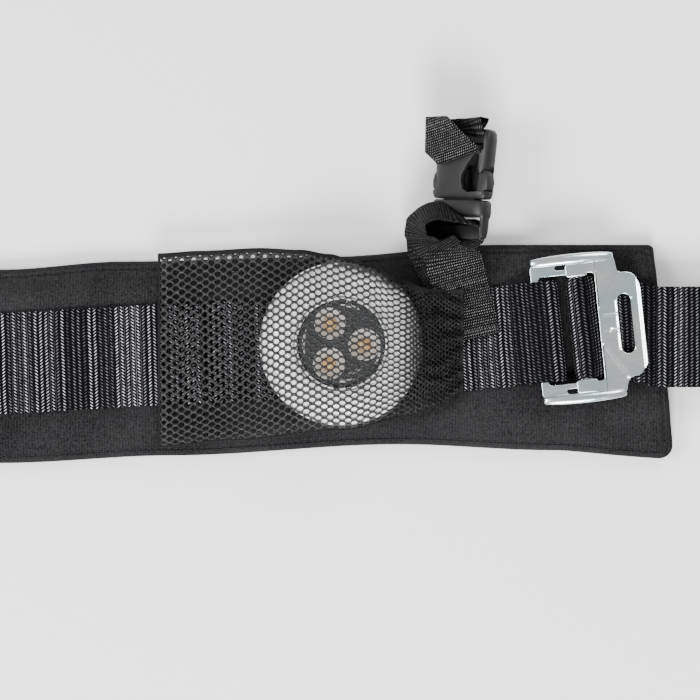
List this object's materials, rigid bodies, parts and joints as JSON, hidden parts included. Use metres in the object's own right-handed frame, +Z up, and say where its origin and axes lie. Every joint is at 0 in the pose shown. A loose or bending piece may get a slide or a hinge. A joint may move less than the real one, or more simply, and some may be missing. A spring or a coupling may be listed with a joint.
{
  "type": "padded waist belt",
  "caption": "Padded waist belt with ribbed webbing, a steel tilt-lock adjuster, a puck lamp in a mesh pocket and an accessory strap with a side-release clip.",
  "frame": {"origin": "under the middle of the whole belt, on the surface that it lies on", "axes": "+X along the belt towards the adjuster, +Y across the pad towards the clip, +Z up from the pad's face"},
  "size_m": [0.53, 0.156, 0.0387],
  "materials": {
    "pad_cloth": "fine charcoal knit",
    "pad_lining": "matte woven lining",
    "foam": "closed-cell foam",
    "webbing": "ribbed twill webbing",
    "mesh": "open hexagonal mesh",
    "clip_plastic": "fine satin moulding",
    "zinc_steel": "bright zinc plating with a blue-green tint",
    "bar_steel": "knurled zinc plating",
    "lamp_white": "satin silver white",
    "rubber": "matte",
    "cell_sleeve": "printed sleeve without text",
    "plated_metal": "nickel plating",
    "board": "solder mask",
    "led": "clear dome over warm phosphor",
    "black_plastic": "satin",
    "lens": "clear moulded window",
    "reflector": "vacuum-metallised plastic"
  },
  "bodies": {
    "belt": {"pad_front_cover": "pad_cloth", "pad_edge_binding": "pad_cloth", "pad_back_cover": "pad_lining", "pad_foam": "foam", "waist_webbing": "webbing", "webbing_adjusting_end": "webbing", "clip_strap_base": "webbing", "pocket_mesh": "mesh", "pocket_hem": "webbing"},
    "adjuster": {"adjuster_frame": "zinc_steel"},
    "adjuster_slider": {"adjuster_bar": "bar_steel"},
    "lamp": {"lamp_base": "lamp_white", "lamp_bezel": "lamp_white", "lamp_seal": "rubber", "battery_cell_1": "cell_sleeve", "battery_cell_2": "cell_sleeve", "battery_cell_3": "cell_sleeve", "battery_contact_upper": "plated_metal", "battery_contact_lower": "plated_metal", "lamp_circuit_board": "board", "board_screw_1": "plated_metal", "board_screw_2": "plated_metal", "led_1": "led", "led_2": "led", "led_3": "led", "lamp_switch": "black_plastic", "lamp_return_spring": "plated_metal"},
    "lamp_cap": {"lamp_cap_rim": "lamp_white", "lamp_lens": "lens", "lamp_reflector": "reflector", "lamp_switch_button": "lamp_white"},
    "battery_door": {"battery_cover": "lamp_white"},
    "clip_flap": {"clip_strap_flap": "webbing", "clip_plug": "clip_plastic"},
    "prong_left": {"clip_prong_left": "clip_plastic"},
    "prong_right": {"clip_prong_right": "clip_plastic"},
    "clip_top": {"clip_socket": "clip_plastic", "clip_pull_loop": "webbing"}
  },
  "joints": [
    {"name": "adjuster_tilt", "type": "hinge", "parent": "belt", "child": "adjuster", "pos_m": [0.1393, -0.01816, 0.0174], "axis": [0.1045, -0.9945, 0], "range_deg": [0, 25], "deforming": ["webbing_adjusting_end"]},
    {"name": "adjuster_bar_slide", "type": "slide", "parent": "adjuster", "child": "adjuster_slider", "axis": [-0.9945, -0.1045, 0], "range_m": [0, 0.003]},
    {"name": "lamp_slide", "type": "slide", "parent": "belt", "child": "lamp", "axis": [-0.3, 0.9539, 0], "range_m": [0, 0.09], "deforming": ["pocket_mesh", "pocket_hem"]},
    {"name": "lamp_press", "type": "slide", "parent": "lamp", "child": "lamp_cap", "axis": [0, 0, -1], "range_m": [0, 0.0015], "stiffness_N_per_m": 1200, "springref_m": -0.001, "deforming": ["lamp_return_spring"]},
    {"name": "battery_cover_twist", "type": "hinge", "parent": "lamp", "child": "battery_door", "pos_m": [0.0462, -0.0238, 0.014], "axis": [0, 0, -1], "range_deg": [0, 25]},
    {"name": "clip_flap_lift", "type": "hinge", "parent": "belt", "child": "clip_flap", "pos_m": [0.0984, 0.0032, 0.0146], "axis": [0.9708, 0.24, 0], "range_deg": [0, 90]},
    {"name": "prong_left_squeeze", "type": "hinge", "parent": "clip_flap", "child": "prong_left", "pos_m": [0.09176, 0.04077, 0.00917], "axis": [0.6675, -0.0467, -0.7431], "range_deg": [0, 7], "stiffness_Nm_per_rad": 0.2, "deforming": ["clip_prong_left"]},
    {"name": "prong_right_squeeze", "type": "hinge", "parent": "clip_flap", "child": "prong_right", "pos_m": [0.10777, 0.03966, 0.02363], "axis": [-0.6675, 0.0467, 0.7431], "range_deg": [0, 7], "stiffness_Nm_per_rad": 0.2, "deforming": ["clip_prong_right"]},
    {"name": "clip_release", "type": "slide", "parent": "clip_flap", "child": "clip_top", "axis": [0.0698, 0.9976, 0], "range_m": [0, 0.03]}
  ]
}
